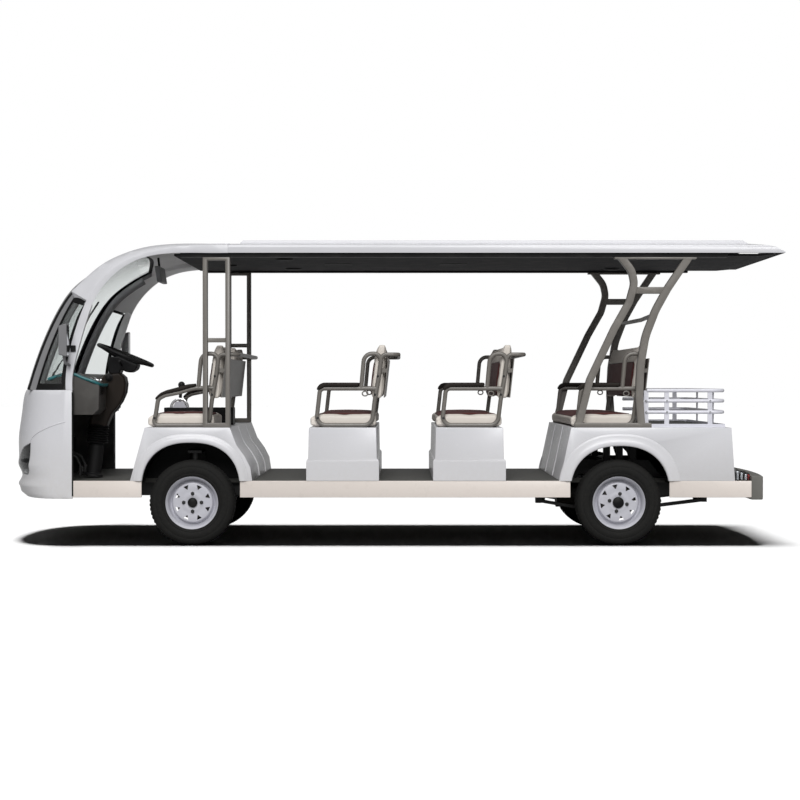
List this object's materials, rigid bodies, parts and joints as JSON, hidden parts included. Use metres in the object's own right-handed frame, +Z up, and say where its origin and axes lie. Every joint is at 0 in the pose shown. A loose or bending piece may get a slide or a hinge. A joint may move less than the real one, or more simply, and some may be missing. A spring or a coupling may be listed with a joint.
{
  "type": "electric sightseeing bus",
  "caption": "Open-sided electric passenger shuttle with bench seats, full roof, bowed windscreen, working steering and wheels, and a rear luggage rack.",
  "frame": {"origin": "on the ground, under the middle of the bus's box", "axes": "X from nose (-) to tail (+), Y from the driver's side (-) to the kerb side (+), Z up"},
  "size_m": [5.0644, 1.73, 1.9829],
  "materials": {
    "body_white": "gel-coated glass fibre, gloss white",
    "skirt_beige": "satin beige paint",
    "frame_grey": "satin warm grey powder coat",
    "chassis_black": "black chassis paint",
    "floor_mat": "dark grey ribbed mat",
    "window_glass": "clear laminated glass",
    "black_plastic": "grained black moulding",
    "dash_plastic": "grained grey moulding",
    "lining_grey": "dark grey lining",
    "seat_leather": "beige artificial leather with maroon insets",
    "arm_pad": "soft black-brown foam rubber",
    "tyre": "black rubber",
    "rim_white": "white painted steel",
    "hub_steel": "dark cast iron and steel",
    "spring_steel": "dark spring steel",
    "lamp_lens": "clear lens over a bright reflector",
    "lamp_red": "red lens with clear parts",
    "bumper_grey": "dark grey moulding",
    "rack_white": "white painted tube",
    "battery_black": "plain black cases"
  },
  "bodies": {
    "chassis": {"front_cowl": "body_white", "headlamps": "lamp_lens", "windscreen": "window_glass", "windscreen_seals": "black_plastic", "windscreen_pillars": "black_plastic", "front_roof_shell": "body_white", "roof_shell": "body_white", "ceiling": "lining_grey", "roof_rails": "black_plastic", "floor": "floor_mat", "side_skirts": "skirt_beige", "chassis_frame": "chassis_black", "front_seat_base": "body_white", "bench_bases": "body_white", "rear_body": "body_white", "tail_lamps": "lamp_red", "wheel_liners": "black_plastic", "partition_frames": "frame_grey", "canopy_frames": "frame_grey", "front_cushions": "seat_leather", "front_backrests": "seat_leather", "second_row_cushion": "seat_leather", "second_row_backrest": "seat_leather", "third_row_cushion": "seat_leather", "third_row_backrest": "seat_leather", "rear_row_cushion": "seat_leather", "rear_row_backrest": "seat_leather", "seat_frames": "frame_grey", "armrest_pads": "arm_pad", "steering_column": "black_plastic", "dashboard": "dash_plastic", "pedals": "chassis_black", "handbrake_console": "black_plastic", "mirrors": "dash_plastic", "wipers": "chassis_black", "luggage_deck": "floor_mat", "luggage_rack": "rack_white", "rear_bumper": "bumper_grey", "front_suspension": "chassis_black", "steering_rack_housing": "hub_steel", "rear_axle": "hub_steel", "leaf_springs": "spring_steel", "battery_blocks": "battery_black"},
    "knuckle_left": {"knuckle_left": "hub_steel"},
    "knuckle_right": {"knuckle_right": "hub_steel"},
    "steering_rack": {"tie_rods": "hub_steel"},
    "steering_wheel": {"steering_wheel": "black_plastic"},
    "wheel_front_left": {"tyre_front_left": "tyre", "rim_front_left": "rim_white"},
    "wheel_front_right": {"tyre_front_right": "tyre", "rim_front_right": "rim_white"},
    "wheel_rear_left": {"tyre_rear_left": "tyre", "rim_rear_left": "rim_white"},
    "wheel_rear_right": {"tyre_rear_right": "tyre", "rim_rear_right": "rim_white"}
  },
  "joints": [
    {"name": "steer_left", "type": "hinge", "parent": "chassis", "child": "knuckle_left", "pos_m": [-1.292, -0.545, 0.276], "axis": [0, 0, 1], "range_deg": [-28, 28]},
    {"name": "steer_right", "type": "hinge", "parent": "chassis", "child": "knuckle_right", "pos_m": [-1.292, 0.545, 0.276], "axis": [0, 0, 1], "range_deg": [-28, 28]},
    {"name": "rack_slide", "type": "slide", "parent": "chassis", "child": "steering_rack", "axis": [0, 1, 0], "range_m": [-0.0575, 0.0575]},
    {"name": "steering_wheel_turn", "type": "hinge", "parent": "chassis", "child": "steering_wheel", "pos_m": [-1.776, -0.395, 1.235], "axis": [0.3665, 0, 0.9304], "range_deg": [-450, 450]},
    {"name": "spin_front_left", "type": "hinge", "parent": "knuckle_left", "child": "wheel_front_left", "pos_m": [-1.292, -0.6625, 0.276], "axis": [0, 1, 0], "continuous": true},
    {"name": "spin_front_right", "type": "hinge", "parent": "knuckle_right", "child": "wheel_front_right", "pos_m": [-1.292, 0.6625, 0.276], "axis": [0, 1, 0], "continuous": true},
    {"name": "spin_rear_left", "type": "hinge", "parent": "chassis", "child": "wheel_rear_left", "pos_m": [1.464, -0.6625, 0.276], "axis": [0, 1, 0], "continuous": true},
    {"name": "spin_rear_right", "type": "hinge", "parent": "chassis", "child": "wheel_rear_right", "pos_m": [1.464, 0.6625, 0.276], "axis": [0, 1, 0], "continuous": true}
  ],
  "couplings": [
    {"joint": "steer_right", "follows": "steer_left", "ratio": 1},
    {"joint": "rack_slide", "follows": "steer_left", "m_per_rad": 0.1153},
    {"joint": "steering_wheel_turn", "follows": "steer_left", "ratio": 16}
  ]
}
